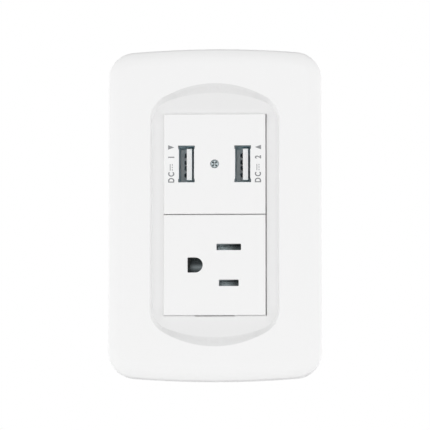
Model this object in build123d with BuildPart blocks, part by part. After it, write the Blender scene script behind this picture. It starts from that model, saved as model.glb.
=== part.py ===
"""USB wall socket: a cover plate with a twin USB charger insert above an earthed outlet insert.

Units are millimetres. The front looks along -Y, +Z is up and the wall is the plane Y = 0.
A level is a distance in front of the wall, so negative levels lie inside the wall box.
"""

import os
from collections import namedtuple

from build123d import *

os.makedirs("parts", exist_ok=True)

# Cover plate
plate_width = 75.5
plate_height = 118.0
plate_bow = 2.0
plate_corner_radius = 9.5
brow_run = 2.9
brow_drop = 1.6
brow_radius = 9.6
plate_edge_radius = 1.2
plate_wall = 2.2

# Eye-shaped dish around the window of the cover plate, with a sloped wall at each end
dish_side = 4.72
dish_end = 11.0
dish_end_rise = 8.5
dish_floor_rise = 4.9
dish_end_slope = 3.58
dish_side_slope = 0.6
dish_corner_radius = 9.0
dish_depth = 1.6
dish_wall = 2.0
window_left_gap = 0.04
window_right_gap = 0.34
window_top_gap = 0.04
window_bottom_gap = 0.06
pry_notch_width = 14.0
pry_notch_depth = 0.2

# Snap hooks on the back of the cover plate
hook_inset = 5.0
hook_z = 30.0
hook_width = 8.0
hook_wall = 1.4
hook_barb = 0.8
hook_tip = 0.5
hook_gap = 0.2

# Support frame
frame_side_gap = 4.55
frame_end_gap = 3.8
frame_corner_radius = 4.0
frame_web = 2.2
frame_rim = 1.6
frame_rib = 1.2
frame_rib_spacing = 18.0
clip_room = 2.2
rail_wall = 1.8
rail_depth = 3.0
aperture_gap = 0.25
divider_gap = 0.2

# Box screws, in horizontal slots at the bottom of sunk wells
box_screw_margin = 6.21
box_screw_diameter = 3.5
box_screw_neck = 2.9
box_screw_length = 25.0
box_head_diameter = 6.4
box_head_height = 2.2
box_slot_length = 9.0
box_slot_gap = 0.25
well_floor = 1.8
well_width = 16.0
well_gap = 0.2
well_wall = 1.4

# Inserts: what the caps of the charger and the outlet share
insert_width = 36.0
insert_height = 35.6
insert_gap = 0.22
insert_proud = 1.55
insert_step = 0.5
insert_edge_radius = 0.5
insert_wall = 1.5
ledge_thickness = 0.9
ledge_reach = 2.0
ledge_length = 30.0
seat_gap = 0.1
joint_depth = 1.0
lip_wall = 1.0
lip_depth = 2.2
lip_root = 1.2
lip_gap = 0.1
snap_width = 8.0
snap_side_gap = 0.5
snap_flex_room = 0.9
snap_recess_wall = 1.0
snap_catch = 1.0
snap_wedge = 3.2
snap_tail = 1.0
snap_gap = 0.15
back_edge_chamfer = 1.0

# Charger insert
usb_depth = 30.0
usb_face_wall = 2.0
port_side_gap = 1.29
port_mouth_height = 13.1
port_waist = 5.4
port_end_width = 5.9
port_end_height = 1.0
port_flare = 0.5
port_lip = 0.5
shell_height = 13.1
shell_width = 5.72
shell_sheet = 0.3
shell_length = 14.0
shell_corner_radius = 0.6
shell_leg_width = 2.0
shell_leg_length = 2.4
shell_gap = 0.1
tongue_span = 11.1
tongue_thickness = 1.84
tongue_offset = 0.92
tongue_recess = 1.4
insulator_base = 4.0
insulator_gap = 0.05
contact_outer_spacing = 7.0
contact_inner_spacing = 2.0
contact_width = 1.0
contact_sheet = 0.25
contact_bow = 0.8
contact_tip_gap = 0.9
contact_tail = 1.2
contact_gap = 0.1
board_side_gap = 0.3
board_end_gap = 0.8
socket_board_thickness = 1.2
cover_head_diameter = 2.9
cover_head_height = 1.2
cover_head_sink = 0.2
cover_head_gap = 0.1
cover_screw_diameter = 1.7
cover_screw_length = 14.0
cover_screw_gap = 0.1
boss_diameter = 5.4
boss_length = 5.0
pillar_diameter = 5.0
pillar_gap = 0.5
corner_post = 3.4

# Power board and what stands on it, placed from its edges or from the pillar in its middle
power_board_thickness = 1.6
power_board_standoff = 2.8
board_rib = 1.4
board_rib_spacing = 12.4
core_width = 13.0
core_depth = 6.0
core_half_height = 5.8
core_back = 1.9
core_leg = 2.0
core_middle_leg = 2.8
core_lift = 1.2
core_air_gap = 0.1
transformer_gap = 0.3
winding_wall = 1.7
bobbin_wall = 0.6
bobbin_gap = 0.1
bobbin_foot = 1.6
bulk_capacitor_diameter = 7.0
bulk_capacitor_height = 13.0
bulk_capacitor_gap = 0.5
bulk_capacitor_spacing = 8.0
output_capacitor_diameter = 5.0
output_capacitor_height = 11.0
output_capacitor_inset = 2.8
output_capacitor_spacing = 5.4
output_capacitor_end = 3.8
safety_capacitor_diameter = 7.0
safety_capacitor_thickness = 3.0
safety_chamfer = 0.8
safety_lead_spacing = 4.0
safety_capacitor_inset = 4.4
safety_capacitor_end = 3.6
can_crimp = 0.4
lead_diameter = 0.6
lead_length = 2.0
fuse_diameter = 3.0
fuse_length = 4.4
fuse_inset = 1.0
fuse_end = 1.8
fuse_lift = 0.2
fuse_chamfer = 0.5
rectifier_length = 4.6
rectifier_width = 4.0
rectifier_height = 2.5
rectifier_gap = 0.3
rectifier_drop = 1.2
chip_length = 4.9
chip_width = 3.9
chip_height = 1.5
chip_gap = 1.0
package_leg = 0.5
package_leg_spacing = 2.4
package_lift = 0.2
package_chamfer = 0.3
package_leg_reach = 1.0
pin_size = 0.5
pin_pitch = 2.0
pin_count = 4
pin_end = 1.6
pin_tail = 1.2
pin_gap = 0.1
header_block = 2.0

# Side terminals of both inserts
terminal_end_gap = 7.4
terminal_level = -14.0
terminal_sheet = 0.8
terminal_plate_width = 6.6
terminal_plate_reach = 4.2
terminal_depth = 3.6
terminal_pocket_height = 8.0
terminal_pocket_reach = 4.6
terminal_wall = 1.2
terminal_head_diameter = 6.0
terminal_head_height = 2.0
terminal_screw_diameter = 3.5
terminal_screw_length = 2.8
terminal_gap = 0.1
terminal_tab_width = 2.6
terminal_tab_length = 1.0
strip_inset = 1.6

# Outlet insert
outlet_depth = 24.0
outlet_face_wall = 2.6
slot_x = 5.0
slot_spacing = 12.7
slot_height = 2.3
neutral_slot_width = 8.7
line_slot_width = 7.0
slot_corner_radius = 0.3
earth_x = -6.9
earth_hole_size = 5.4
earth_corner_radius = 0.4
chamber_gap = 0.4
blade_grip = 1.6
blade_contact_width = 9.2
earth_grip = 5.0
earth_contact_width = 5.0
grip_flare = 0.9
grip_belly = 0.9
grip_flare_height = 1.8
grip_belly_height = 4.0
grip_length = 12.0
grip_bend_radius = 0.5
plug_gap = 0.1
housing_screw_inset = 3.1
housing_screw_end = 3.0
housing_screw_diameter = 2.5
housing_screw_length = 22.0
housing_head_diameter = 4.4
housing_head_height = 1.8
housing_screw_gap = 0.1
housing_boss_wall = 1.1

# Cross recess and bevelled edge of a screw head, as shares of the head's own size
drive_span = 0.75
drive_width = 0.2
drive_depth = 0.45
head_bevel = 0.35
tip_chamfer = 0.25

# Levels of the stack, from the wall to the front
web_back = clip_room
web_front = web_back + frame_web
ledge_front = web_front + ledge_thickness
dish_back = ledge_front + seat_gap
dish_floor = dish_back + dish_wall
plate_front = dish_floor + dish_depth
brow_level = plate_front - brow_drop
insert_face = dish_floor + insert_proud
joint_level = -joint_depth
snap_front = -rail_depth - snap_gap
snap_wedge_end = snap_front - snap_wedge
snap_end = snap_wedge_end - snap_tail
recess_end = snap_end - snap_flex_room
usb_back = -usb_depth
outlet_back = -outlet_depth

# Places that follow from the sizes above
insert_pitch = insert_height + insert_gap
usb_z = insert_pitch / 2
outlet_z = -insert_pitch / 2
usb_centre = (0, usb_z)
outlet_centre = (0, outlet_z)
pair_height = insert_pitch + insert_height
body_width = insert_width - 2 * insert_step
body_height = insert_height - 2 * insert_step
window_width = insert_width + window_left_gap + window_right_gap
window_height = pair_height + window_top_gap + window_bottom_gap
window_centre = (
    (window_right_gap - window_left_gap) / 2,
    (window_top_gap - window_bottom_gap) / 2,
)
window_bottom = -pair_height / 2 - window_bottom_gap
dish_width = window_width + 2 * dish_side
dish_height = window_height + 2 * dish_end
frame_width = plate_width - 2 * (plate_wall + frame_side_gap)
frame_height = plate_height - 2 * (plate_wall + frame_end_gap)
hook_x = frame_width / 2 - hook_inset
aperture_width = body_width + 2 * aperture_gap
aperture_height = insert_pitch + body_height + 2 * aperture_gap
box_screw_spacing = aperture_height + 2 * box_screw_margin
divider_height = insert_gap + 2 * (insert_step - divider_gap)
side_x = body_width / 2
hollow_width = body_width - 2 * insert_wall
hollow_height = body_height - 2 * insert_wall
lip_width = hollow_width - 2 * lip_gap
lip_height = hollow_height - 2 * lip_gap
lip_inner_width = lip_width - 2 * lip_wall
lip_inner_height = lip_height - 2 * lip_wall
recess_x = side_x - insert_wall - snap_flex_room
recess_width = snap_width + 2 * snap_side_gap
lip_break = recess_width + 2 * (snap_recess_wall + lip_gap)
terminal_back_x = side_x - terminal_depth
terminal_face_x = terminal_back_x + terminal_sheet
terminal_offset = hollow_height / 2 - terminal_end_gap
pocket_front = terminal_level + terminal_pocket_reach
shell_front = insert_face - port_lip - shell_gap
socket_board_width = 2 * (recess_x - snap_recess_wall - board_side_gap)
socket_board_height = hollow_height - 2 * board_end_gap
socket_board_front = shell_front - shell_length
socket_board_back = socket_board_front - socket_board_thickness
power_board_width = 2 * (terminal_back_x - terminal_wall - board_side_gap)
power_board_height = hollow_height - 2 * board_end_gap
power_board_back = usb_back + insert_wall + power_board_standoff
power_board_front = power_board_back + power_board_thickness
usb_face_back = insert_face - usb_face_wall
boss_end = usb_face_back - boss_length
cover_seat = insert_face - cover_head_sink - cover_head_height
outlet_face_back = insert_face - outlet_face_wall
plug_front = outlet_face_back - plug_gap
grip_front = plug_front - chamber_gap
grip_back = grip_front - grip_length
port_spacing = 2 * (recess_x - snap_recess_wall - port_side_gap) - shell_width
port_places = [-port_spacing / 2, port_spacing / 2]
contact_places = [
    -contact_outer_spacing / 2,
    -contact_inner_spacing / 2,
    contact_inner_spacing / 2,
    contact_outer_spacing / 2,
]


def face_plane(x, z, level):
    """Plane at a level, facing the front, with its origin at (x, z)."""
    return Plane(origin=(x, -level, z), x_dir=(1, 0, 0), z_dir=(0, -1, 0))


def across_plane(z):
    """Plane of (x, level) sections at a height, so an extrusion runs along Z."""
    return Plane(origin=(0, 0, z), x_dir=(1, 0, 0), z_dir=(0, 0, -1))


def upright_plane(x, z=0):
    """Plane of (z, level) sections at a side place, so an extrusion runs along X."""
    return Plane(origin=(x, 0, z), x_dir=(0, 0, 1), z_dir=(1, 0, 0))


def slab(width, height, centre, back, front, mode=Mode.ADD):
    """Rectangular block between two levels."""
    with BuildSketch(face_plane(*centre, back)) as section:
        Rectangle(width, height)
    extrude(section.sketch, amount=front - back, mode=mode)


def span_slab(x_from, x_to, z_from, z_to, back, front, mode=Mode.ADD):
    """Rectangular block between two side places, two heights and two levels."""
    centre = ((x_from + x_to) / 2, (z_from + z_to) / 2)
    slab(abs(x_to - x_from), abs(z_to - z_from), centre, back, front, mode)


def post(diameter, centre, back, front, mode=Mode.ADD):
    """Round post or hole between two levels."""
    with BuildSketch(face_plane(*centre, back)) as section:
        Circle(diameter / 2)
    extrude(section.sketch, amount=front - back, mode=mode)


def ring(outer, inner, centre, back, front, mode=Mode.ADD):
    """Rectangular ring between two levels, from its outer and inner (width, height)."""
    with BuildSketch(face_plane(*centre, back)) as section:
        Rectangle(*outer)
        Rectangle(*inner, mode=Mode.SUBTRACT)
    extrude(section.sketch, amount=front - back, mode=mode)


def bowed_outline(width, height, bow, corner_radius):
    """Face with straight sides, and top and bottom edges that bow outwards."""
    half = width / 2
    apex = height / 2
    corner = apex - bow
    with BuildLine() as outline:
        Line((half, -corner), (half, corner))
        ThreePointArc((half, corner), (0, apex), (-half, corner))
        Line((-half, corner), (-half, -corner))
        ThreePointArc((-half, -corner), (0, -apex), (half, -corner))
    make_face(outline.edges())
    fillet(vertices(), corner_radius)


def screw(seat, head_diameter, head_height, shank_diameter, length):
    """Pan-head screw with a cross recess. The seat plane lies under the head and faces out of it."""
    head = head_diameter / 2
    shank = shank_diameter / 2
    bevel = head_height * head_bevel
    tip = shank * tip_chamfer
    side = Plane(origin=seat.origin, x_dir=seat.x_dir, z_dir=seat.x_dir.cross(seat.z_dir))
    with BuildSketch(side) as profile:
        with BuildLine():
            Polyline(
                (0, -length), (0, head_height), (head - bevel, head_height),
                (head, head_height - bevel), (head, 0), (shank, 0),
                (shank, tip - length), (shank - tip, -length),
                close=True,
            )
        make_face()
    revolve(profile.sketch, axis=Axis(seat.origin, seat.z_dir))
    with BuildSketch(seat.offset(head_height)) as recess:
        Rectangle(head_diameter * drive_span, head_diameter * drive_width, rotation=45)
        Rectangle(head_diameter * drive_span, head_diameter * drive_width, rotation=-45)
    extrude(recess.sketch, amount=-head_height * drive_depth, mode=Mode.SUBTRACT)


def insert_cap(centre, face_wall):
    """Cap of an insert: face, skirt, seating ledges, joining lip and two snap tongues."""
    z = centre[1]
    slab(insert_width, insert_height, centre, ledge_front, insert_face)
    fillet(faces().sort_by(Axis.Y)[0].edges(), insert_edge_radius)
    slab(body_width, body_height, centre, joint_level, ledge_front)
    slab(hollow_width, hollow_height, centre, joint_level, insert_face - face_wall, Mode.SUBTRACT)
    lip_inner = (lip_inner_width, lip_inner_height)
    ring((hollow_width, hollow_height), lip_inner, centre, joint_level, joint_level + lip_root)
    ring((lip_width, lip_height), lip_inner, centre, joint_level - lip_depth, joint_level)
    # The lip is broken behind the tongues, so that they can flex inwards
    slab(hollow_width, lip_break, centre, joint_level - lip_depth, joint_level, Mode.SUBTRACT)
    for side in (-1, 1):
        inner = side * (side_x - insert_wall)
        ledge_end = side * (side_x + ledge_reach)
        span_slab(
            inner, ledge_end, z - ledge_length / 2, z + ledge_length / 2, web_front, ledge_front
        )
        span_slab(
            inner, side * side_x, z - snap_width / 2, z + snap_width / 2, snap_end, joint_level
        )
        with BuildSketch(across_plane(z)) as wedge:
            with BuildLine():
                Polyline(
                    (side * side_x, snap_front),
                    (side * (side_x + snap_catch), snap_front),
                    (side * side_x, snap_wedge_end),
                    close=True,
                )
            make_face()
        extrude(wedge.sketch, amount=snap_width / 2, both=True)


def snap_recesses(centre, mode, wall=0.0):
    """Room for the two snap tongues in the side of a rear housing, or the wall around that room."""
    z = centre[1]
    half = recess_width / 2 + wall
    for side in (-1, 1):
        span_slab(
            side * (recess_x - wall), side * side_x, z - half, z + half,
            recess_end - wall, joint_level, mode,
        )


def terminal_pocket(side, z, back, mode, wall=0.0):
    """Side pocket of a screw terminal, open to the rear, or the wall around it."""
    half = terminal_pocket_height / 2 + wall
    span_slab(
        side * (terminal_back_x - wall), side * side_x, z - half, z + half,
        back, pocket_front + wall, mode,
    )


def terminal_seat(side, z):
    """Plane on the outer face of a terminal plate, facing out of the insert's side."""
    return Plane(
        origin=(side * terminal_face_x, -terminal_level, z),
        x_dir=(0, 0, 1),
        z_dir=(side, 0, 0),
    )


def terminal_hole(side, z, inner_x, gap):
    """Hole for a terminal screw, from its plate's face to a place further inside."""
    with BuildSketch(terminal_seat(side, z)) as section:
        Circle(terminal_screw_diameter / 2 + gap)
    extrude(section.sketch, amount=inner_x - terminal_face_x, mode=Mode.SUBTRACT)


def terminal_screw(side, z):
    """Screw of a side terminal, with its head on the plate."""
    screw(
        terminal_seat(side, z),
        terminal_head_diameter,
        terminal_head_height,
        terminal_screw_diameter,
        terminal_screw_length + terminal_sheet,
    )


# Cover plate: bowed outline, curved brow along its edge, hollow back, lofted dish, window and hooks
with BuildPart() as cover_plate:
    with BuildSketch(Plane.XZ):
        bowed_outline(plate_width, plate_height, plate_bow, plate_corner_radius)
    extrude(amount=brow_level)
    with BuildSketch(Plane.XZ.offset(brow_level)):
        bowed_outline(plate_width, plate_height, plate_bow, plate_corner_radius)
    with BuildSketch(Plane.XZ.offset(plate_front)):
        bowed_outline(
            plate_width - 2 * brow_run,
            plate_height - 2 * brow_run,
            plate_bow,
            plate_corner_radius - brow_run,
        )
    loft(ruled=True)
    fillet(faces().sort_by(Axis.Y)[0].edges(), brow_radius)
    outer_edge = edges().filter_by_position(Axis.Y, -brow_level, -brow_level)
    fillet(outer_edge, plate_edge_radius)
    with BuildSketch(Plane.XZ):
        bowed_outline(
            plate_width - 2 * plate_wall,
            plate_height - 2 * plate_wall,
            plate_bow,
            plate_corner_radius - plate_wall,
        )
    extrude(amount=plate_front - plate_wall, mode=Mode.SUBTRACT)
    with BuildSketch(Plane.XZ.offset(dish_back)):
        bowed_outline(
            dish_width + 2 * dish_wall,
            dish_height + 2 * dish_wall,
            dish_end_rise,
            dish_corner_radius + dish_wall,
        )
    extrude(amount=plate_front - plate_wall - dish_back)
    with BuildSketch(Plane.XZ.offset(dish_floor)):
        bowed_outline(
            dish_width - 2 * dish_side_slope,
            dish_height - 2 * dish_end_slope,
            dish_floor_rise,
            dish_corner_radius - dish_side_slope,
        )
    with BuildSketch(Plane.XZ.offset(plate_front)):
        bowed_outline(dish_width, dish_height, dish_end_rise, dish_corner_radius)
    loft(ruled=True, mode=Mode.SUBTRACT)
    slab(window_width, window_height, window_centre, 0, plate_front, Mode.SUBTRACT)
    # Narrow slit in the lower edge of the window, for prying the plate off
    span_slab(
        -pry_notch_width / 2, pry_notch_width / 2, window_bottom - pry_notch_depth,
        window_bottom + window_bottom_gap, dish_back, dish_floor, Mode.SUBTRACT,
    )
    for side in (-1, 1):
        for height in (-hook_z, hook_z):
            with BuildSketch(across_plane(height)):
                with BuildLine():
                    Polyline(
                        (side * hook_x, plate_front - plate_wall),
                        (side * (hook_x + hook_wall), plate_front - plate_wall),
                        (side * (hook_x + hook_wall), web_back - hook_gap),
                        (side * (hook_x + hook_wall + hook_barb), web_back - hook_gap),
                        (side * (hook_x + hook_wall), hook_tip),
                        (side * hook_x, hook_tip),
                        close=True,
                    )
                make_face()
            extrude(amount=hook_width / 2, both=True)

# Support frame: web on a rim, rails around the inserts, sunk wells for the box screws
with BuildPart() as support_frame:
    with BuildSketch(Plane.XZ):
        RectangleRounded(frame_width, frame_height, frame_corner_radius)
    extrude(amount=web_front)
    with BuildSketch(Plane.XZ):
        RectangleRounded(
            frame_width - 2 * frame_rim,
            frame_height - 2 * frame_rim,
            frame_corner_radius - frame_rim,
        )
    extrude(amount=web_back, mode=Mode.SUBTRACT)
    for height in (-frame_rib_spacing, 0, frame_rib_spacing):
        slab(frame_width - frame_rim, frame_rib, (0, height), 0, web_back)
    slab(
        aperture_width + 2 * rail_wall, aperture_height + 2 * rail_wall, (0, 0), -rail_depth, web_front
    )
    well_height = box_head_diameter + 2 * well_gap
    for height in (-box_screw_spacing / 2, box_screw_spacing / 2):
        slab(well_width + 2 * well_wall, well_height + 2 * well_wall, (0, height), 0, web_front)
        slab(well_width, well_height, (0, height), well_floor, web_front, Mode.SUBTRACT)
        with BuildSketch(face_plane(0, height, 0)):
            SlotOverall(box_slot_length, box_screw_diameter + 2 * box_slot_gap)
        extrude(amount=well_floor, mode=Mode.SUBTRACT)
    slab(aperture_width, aperture_height, (0, 0), -rail_depth, web_front, Mode.SUBTRACT)
    slab(aperture_width, divider_height, (0, 0), -rail_depth, web_front)
    for side in (-1, 1):
        for height in (-hook_z, hook_z):
            half = hook_width / 2 + hook_gap
            span_slab(
                side * (hook_x - hook_barb), side * (hook_x + hook_wall + hook_gap),
                height - half, height + half, 0, web_front, Mode.SUBTRACT,
            )

with BuildPart() as box_screws:
    for height in (-box_screw_spacing / 2, box_screw_spacing / 2):
        seat = face_plane(0, height, well_floor)
        screw(seat, box_head_diameter, box_head_height, box_screw_diameter, box_screw_length)
        # Plain neck under the head, as wide as the blank that the thread was rolled on
        with BuildSketch(seat):
            Circle(box_screw_diameter / 2)
            Circle(box_screw_neck / 2, mode=Mode.SUBTRACT)
        extrude(amount=-well_floor, mode=Mode.SUBTRACT)

# Charger insert
with BuildPart() as usb_front_cover:
    insert_cap(usb_centre, usb_face_wall)
    post(boss_diameter, usb_centre, boss_end, usb_face_back)
    post(
        cover_head_diameter + 2 * cover_head_gap, usb_centre, cover_seat, insert_face, Mode.SUBTRACT
    )
    post(
        cover_screw_diameter + 2 * cover_screw_gap, usb_centre, boss_end, cover_seat, Mode.SUBTRACT
    )
    for x in port_places:
        slab(
            shell_width + 2 * shell_gap, shell_height + 2 * shell_gap, (x, usb_z),
            usb_face_back, insert_face - port_lip, Mode.SUBTRACT,
        )
        # The mouth is a little narrower along its sides than at its two ends
        with BuildSketch(face_plane(x, usb_z, insert_face - port_lip)):
            with BuildLine():
                Polyline(
                    (0, port_mouth_height / 2),
                    (port_end_width / 2, port_mouth_height / 2),
                    (port_end_width / 2, port_mouth_height / 2 - port_end_height),
                    (port_waist / 2, port_mouth_height / 2 - port_end_height - port_flare),
                    (port_waist / 2, 0),
                )
                mirror(about=Plane.YZ)
                mirror(about=Plane.XZ)
            make_face()
        extrude(amount=port_lip, mode=Mode.SUBTRACT)

terminal_places = [usb_z - terminal_offset, usb_z + terminal_offset]
with BuildPart() as usb_rear_housing:
    slab(body_width, body_height, usb_centre, usb_back, joint_level)
    chamfer(faces().sort_by(Axis.Y)[-1].edges(), back_edge_chamfer)
    slab(
        hollow_width, hollow_height, usb_centre, usb_back + insert_wall, joint_level, Mode.SUBTRACT
    )
    for x in (-1, 1):
        for z in (-1, 1):
            corner = (x * (hollow_width - corner_post) / 2, usb_z + z * (hollow_height - corner_post) / 2)
            slab(corner_post, corner_post, corner, usb_back + insert_wall, socket_board_back)
    for x in (-1, 1):
        rib = (x * board_rib_spacing / 2, usb_z)
        slab(board_rib, hollow_height, rib, usb_back + insert_wall, power_board_back)
    post(pillar_diameter, usb_centre, usb_back + insert_wall, boss_end)
    post(
        cover_screw_diameter, usb_centre, cover_seat - cover_screw_length - pillar_gap, boss_end,
        Mode.SUBTRACT,
    )
    snap_recesses(usb_centre, Mode.ADD, snap_recess_wall)
    for z in terminal_places:
        terminal_pocket(1, z, usb_back + insert_wall, Mode.ADD, terminal_wall)
    snap_recesses(usb_centre, Mode.SUBTRACT)
    for z in terminal_places:
        terminal_pocket(1, z, usb_back, Mode.SUBTRACT)
        terminal_hole(1, z, terminal_back_x - terminal_wall, terminal_gap)
        half = terminal_tab_width / 2 + terminal_gap
        span_slab(
            terminal_back_x - terminal_wall, terminal_back_x, z - half, z + half,
            power_board_front - terminal_gap, power_board_front + terminal_sheet + terminal_gap,
            Mode.SUBTRACT,
        )

with BuildPart() as usb_cover_screw:
    screw(
        face_plane(0, usb_z, cover_seat), cover_head_diameter, cover_head_height,
        cover_screw_diameter, cover_screw_length,
    )


def usb_shell(x):
    """Folded shell of one USB socket, open at both ends, with two legs through the board."""
    with BuildPart() as shell:
        with BuildSketch(face_plane(x, usb_z, socket_board_front)):
            RectangleRounded(shell_width, shell_height, shell_corner_radius)
            RectangleRounded(
                shell_width - 2 * shell_sheet,
                shell_height - 2 * shell_sheet,
                shell_corner_radius - shell_sheet,
                mode=Mode.SUBTRACT,
            )
        extrude(amount=shell_length)
        leg_z = (shell_height - shell_sheet) / 2
        for z in (usb_z - leg_z, usb_z + leg_z):
            slab(
                shell_leg_width, shell_sheet, (x, z),
                socket_board_front - shell_leg_length, socket_board_front,
            )
    return shell


def usb_insulator(x):
    """Moulded base of one USB socket, with its tongue and the grooves of the four contacts."""
    base_width = shell_width - 2 * shell_sheet - 2 * insulator_gap
    base_height = shell_height - 2 * shell_sheet - 2 * insulator_gap
    base_front = socket_board_front + insulator_base
    tongue_face = x + tongue_offset - tongue_thickness / 2
    with BuildPart() as insulator:
        with BuildSketch(face_plane(x, usb_z, socket_board_front)):
            RectangleRounded(base_width, base_height, shell_corner_radius - shell_sheet)
        extrude(amount=insulator_base)
        slab(
            tongue_thickness, tongue_span, (x + tongue_offset, usb_z),
            base_front, shell_front - tongue_recess,
        )
        for z in contact_places:
            half = contact_width / 2 + contact_gap
            span_slab(
                tongue_face - contact_sheet - contact_gap, tongue_face,
                usb_z + z - half, usb_z + z + half, socket_board_front, base_front, Mode.SUBTRACT,
            )
    return insulator


def usb_contacts(x):
    """Four spring contacts of one USB socket: straight tails, and a bow that meets the plug."""
    tongue_face = x + tongue_offset - tongue_thickness / 2
    base_front = socket_board_front + insulator_base
    tip = shell_front - tongue_recess - contact_tip_gap
    with BuildPart() as contacts:
        for z in contact_places:
            with BuildSketch(across_plane(usb_z + z)):
                with BuildLine():
                    Polyline((tongue_face, socket_board_back - contact_tail), (tongue_face, base_front))
                    ThreePointArc(
                        (tongue_face, base_front),
                        (tongue_face - contact_bow, (base_front + tip) / 2),
                        (tongue_face, tip),
                    )
                    offset(amount=contact_sheet, side=Side.LEFT)
                make_face()
            extrude(amount=contact_width / 2, both=True)
    return contacts


usb_shell_left, usb_shell_right = [usb_shell(x) for x in port_places]
usb_insulator_left, usb_insulator_right = [usb_insulator(x) for x in port_places]
usb_contacts_left, usb_contacts_right = [usb_contacts(x) for x in port_places]

pin_places = [(i - (pin_count - 1) / 2) * pin_pitch for i in range(pin_count)]
pin_row_z = pin_end - power_board_height / 2
with BuildPart() as usb_socket_board:
    slab(
        socket_board_width, socket_board_height, usb_centre, socket_board_back, socket_board_front
    )
    post(
        pillar_diameter + 2 * pillar_gap, usb_centre, socket_board_back, socket_board_front, Mode.SUBTRACT
    )
    for x in port_places:
        for z in (-1, 1):
            leg = (x, usb_z + z * (shell_height - shell_sheet) / 2)
            slab(
                shell_leg_width + 2 * shell_gap, shell_sheet + 2 * shell_gap, leg,
                socket_board_back, socket_board_front, Mode.SUBTRACT,
            )
        tail_x = x + tongue_offset - (tongue_thickness + contact_sheet) / 2
        for z in contact_places:
            slab(
                contact_sheet + 2 * contact_gap, contact_width + 2 * contact_gap, (tail_x, usb_z + z),
                socket_board_back, socket_board_front, Mode.SUBTRACT,
            )
    for x in pin_places:
        slab(
            pin_size + 2 * pin_gap, pin_size + 2 * pin_gap, (x, usb_z + pin_row_z),
            socket_board_back, socket_board_front, Mode.SUBTRACT,
        )

with BuildPart() as usb_power_board:
    slab(power_board_width, power_board_height, usb_centre, power_board_back, power_board_front)
    post(
        pillar_diameter + 2 * pillar_gap, usb_centre, power_board_back, power_board_front, Mode.SUBTRACT
    )
    for x in pin_places:
        slab(
            pin_size + 2 * pin_gap, pin_size + 2 * pin_gap, (x, usb_z + pin_row_z),
            power_board_back, power_board_front, Mode.SUBTRACT,
        )

with BuildPart() as board_link_pins:
    for x in pin_places:
        slab(
            pin_size, pin_size, (x, usb_z + pin_row_z),
            power_board_back - pin_tail, socket_board_front + pin_tail,
        )

with BuildPart() as board_link_header:
    slab(
        pin_count * pin_pitch, header_block, (0, usb_z + pin_row_z),
        power_board_front, power_board_front + header_block,
    )
    for x in pin_places:
        slab(
            pin_size + 2 * pin_gap, pin_size + 2 * pin_gap, (x, usb_z + pin_row_z),
            power_board_front, power_board_front + header_block, Mode.SUBTRACT,
        )

# Transformer: two E-shaped core halves, a bobbin on their middle leg and its winding
core_start = power_board_front + core_lift
core_middle = core_start + core_half_height
tube_depth = core_depth + 2 * (bobbin_gap + bobbin_wall)
tube_width = core_middle_leg + 2 * (bobbin_gap + bobbin_wall)
flange_depth = tube_depth + 2 * winding_wall
flange_width = tube_width + 2 * winding_wall
transformer_x = -(pillar_diameter + flange_depth) / 2 - transformer_gap
transformer_centre = (transformer_x, usb_z)
flange_back = core_start + core_back + bobbin_gap
flange_front = core_start + 2 * core_half_height - core_back - bobbin_gap
with BuildPart() as transformer_core:
    leg_place = (core_width - core_leg) / 2
    for way in (-1, 1):
        with BuildSketch(upright_plane(transformer_x, usb_z)):
            with Locations((0, core_middle + way * (core_half_height - core_back / 2))):
                Rectangle(core_width, core_back)
            legs = [(-leg_place, core_leg), (0, core_middle_leg), (leg_place, core_leg)]
            leg_length = core_half_height - core_air_gap / 2
            for z, width in legs:
                with Locations((z, core_middle + way * (core_half_height - leg_length / 2))):
                    Rectangle(width, leg_length)
        extrude(amount=core_depth / 2, both=True)

with BuildPart() as transformer_bobbin:
    slab(tube_depth, tube_width, transformer_centre, flange_back, flange_front)
    for back in (flange_back, flange_front - bobbin_wall):
        slab(flange_depth, flange_width, transformer_centre, back, back + bobbin_wall)
    for way in (-1, 1):
        inner = transformer_x + way * (core_depth / 2 + bobbin_gap)
        outer = inner + way * bobbin_foot
        span_slab(
            inner, outer, usb_z - flange_width / 2, usb_z + flange_width / 2,
            power_board_front, flange_back + bobbin_wall,
        )
    slab(
        core_depth + 2 * bobbin_gap, core_middle_leg + 2 * bobbin_gap, transformer_centre,
        flange_back, flange_front, Mode.SUBTRACT,
    )

with BuildPart() as transformer_winding:
    ring(
        (flange_depth - 2 * bobbin_gap, flange_width - 2 * bobbin_gap), (tube_depth, tube_width),
        transformer_centre, flange_back + bobbin_wall, flange_front - bobbin_wall,
    )


def radial_capacitor(x, z, diameter, height):
    """Electrolytic capacitor standing on the power board: a can with a crimp above its base."""
    radius = diameter / 2
    place = face_plane(x, usb_z + z, power_board_front)
    side = Plane(origin=place.origin, x_dir=(1, 0, 0), z_dir=(0, 0, -1))
    with BuildSketch(side) as profile:
        with BuildLine():
            Polyline(
                (0, 0), (radius, 0), (radius, 2 * can_crimp),
                (radius - can_crimp, 3 * can_crimp), (radius, 4 * can_crimp),
                (radius, height - can_crimp), (radius - can_crimp, height), (0, height),
                close=True,
            )
        make_face()
    revolve(profile.sketch, axis=Axis(place.origin, place.z_dir))


bulk_capacitor_x = (pillar_diameter + bulk_capacitor_diameter) / 2 + bulk_capacitor_gap
with BuildPart() as bulk_capacitors:
    for z in (-bulk_capacitor_spacing / 2, bulk_capacitor_spacing / 2):
        radial_capacitor(bulk_capacitor_x, z, bulk_capacitor_diameter, bulk_capacitor_height)

output_capacitor_x = output_capacitor_inset - power_board_width / 2
output_capacitor_z = power_board_height / 2 - output_capacitor_end
with BuildPart() as output_capacitors:
    for x in (output_capacitor_x, output_capacitor_x + output_capacitor_spacing):
        radial_capacitor(x, output_capacitor_z, output_capacitor_diameter, output_capacitor_height)

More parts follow.
